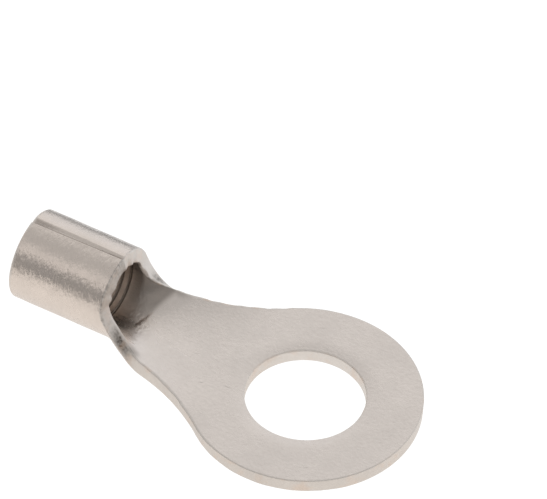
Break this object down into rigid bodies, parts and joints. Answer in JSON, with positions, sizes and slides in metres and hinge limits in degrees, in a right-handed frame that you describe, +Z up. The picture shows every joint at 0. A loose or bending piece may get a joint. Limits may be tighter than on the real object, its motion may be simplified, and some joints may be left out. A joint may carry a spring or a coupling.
{
  "type": "ring terminal",
  "caption": "Non-insulated crimp ring terminal: flat ring tongue for a stud, open throat and rolled barrel with a brazed seam for a stranded wire.",
  "frame": {"origin": "centre of the stud hole on the tongue's underside", "axes": "+Z up out of the stud hole, -X along the barrel towards the wire, Y across the tongue"},
  "size_m": [0.024, 0.013, 0.0052],
  "materials": {
    "tinned_copper": "matte tin plating, fine mottle, satin on the rolled barrel"
  },
  "bodies": {
    "root": {"ring_terminal": "tinned_copper"}
  },
  "joints": []
}
